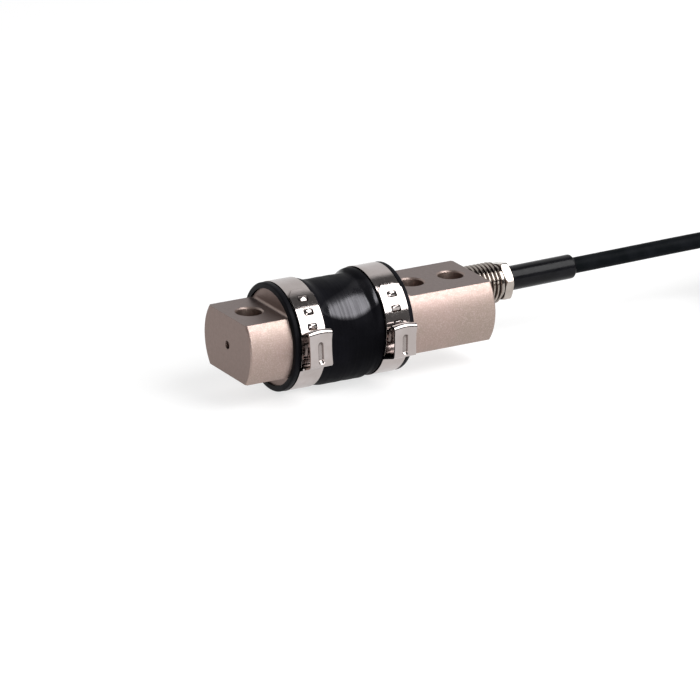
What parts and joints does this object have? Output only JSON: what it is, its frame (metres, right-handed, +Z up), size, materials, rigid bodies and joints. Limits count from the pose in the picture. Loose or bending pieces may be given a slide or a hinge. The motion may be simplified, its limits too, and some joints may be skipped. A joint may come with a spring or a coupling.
{
  "type": "beam load cell",
  "caption": "Single-ended beam load cell: round steel bar with milled drilled ends, clamped rubber sleeve over the gauges, threaded cable entry and a cable tied in a hank.",
  "frame": {"origin": "midway between the two fixing holes, on the lower mounting face of the fixed end", "axes": "+X from the load end towards the cable, +Z up, the way the load hole and fixing holes open; -Y is the side with the clamp ears"},
  "size_m": [0.3258, 0.058, 0.0372],
  "materials": {
    "plated_steel": "blasted alloy steel under dull nickel plate",
    "sleeve_rubber": "satin moulded rubber",
    "stainless": "bright rolled stainless strip",
    "gauge_film": "amber film with etched foil",
    "sealant": "soft clear-white sealant",
    "board": "glass-fibre board with tinned pads",
    "resistor": "chip resistor",
    "enamelled_copper": "enamelled copper",
    "nickel_brass": "bright nickel plate on brass",
    "seal_rubber": "moulded rubber",
    "washer_steel": "plain steel",
    "shrink_tube": "satin shrink tube",
    "jacket": "satin cable jacket",
    "core_red": "core insulation",
    "core_black": "core insulation",
    "core_green": "core insulation",
    "core_white": "core insulation",
    "tinned_copper": "tinned strands",
    "tie": "soft woven tie"
  },
  "bodies": {
    "root": {"beam_body": "plated_steel", "rubber_sleeve": "sleeve_rubber", "front_clamp": "stainless", "rear_clamp": "stainless", "near_gauge": "gauge_film", "far_gauge": "gauge_film", "near_coating": "sealant", "far_coating": "sealant", "terminal_board": "board", "span_resistor": "resistor", "zero_resistor": "resistor", "creep_resistor": "resistor", "gland_screw": "nickel_brass", "cable_seal": "seal_rubber", "thrust_washer": "washer_steel", "strain_relief": "shrink_tube", "cable_lead": "jacket", "cable_hank": "jacket", "cable_tail": "jacket", "tail_sleeve": "shrink_tube", "drain_wire": "tinned_copper", "near_gauge_wire_1": "enamelled_copper", "near_gauge_wire_2": "enamelled_copper", "near_gauge_wire_3": "enamelled_copper", "far_gauge_wire_1": "enamelled_copper", "far_gauge_wire_2": "enamelled_copper", "far_gauge_wire_3": "enamelled_copper", "inner_core_red": "core_red", "tail_core_red": "core_red", "tail_tip_red": "tinned_copper", "inner_core_black": "core_black", "tail_core_black": "core_black", "tail_tip_black": "tinned_copper", "inner_core_green": "core_green", "tail_core_green": "core_green", "tail_tip_green": "tinned_copper", "inner_core_white": "core_white", "tail_core_white": "core_white", "tail_tip_white": "tinned_copper", "hank_tie": "tie"}
  },
  "joints": []
}
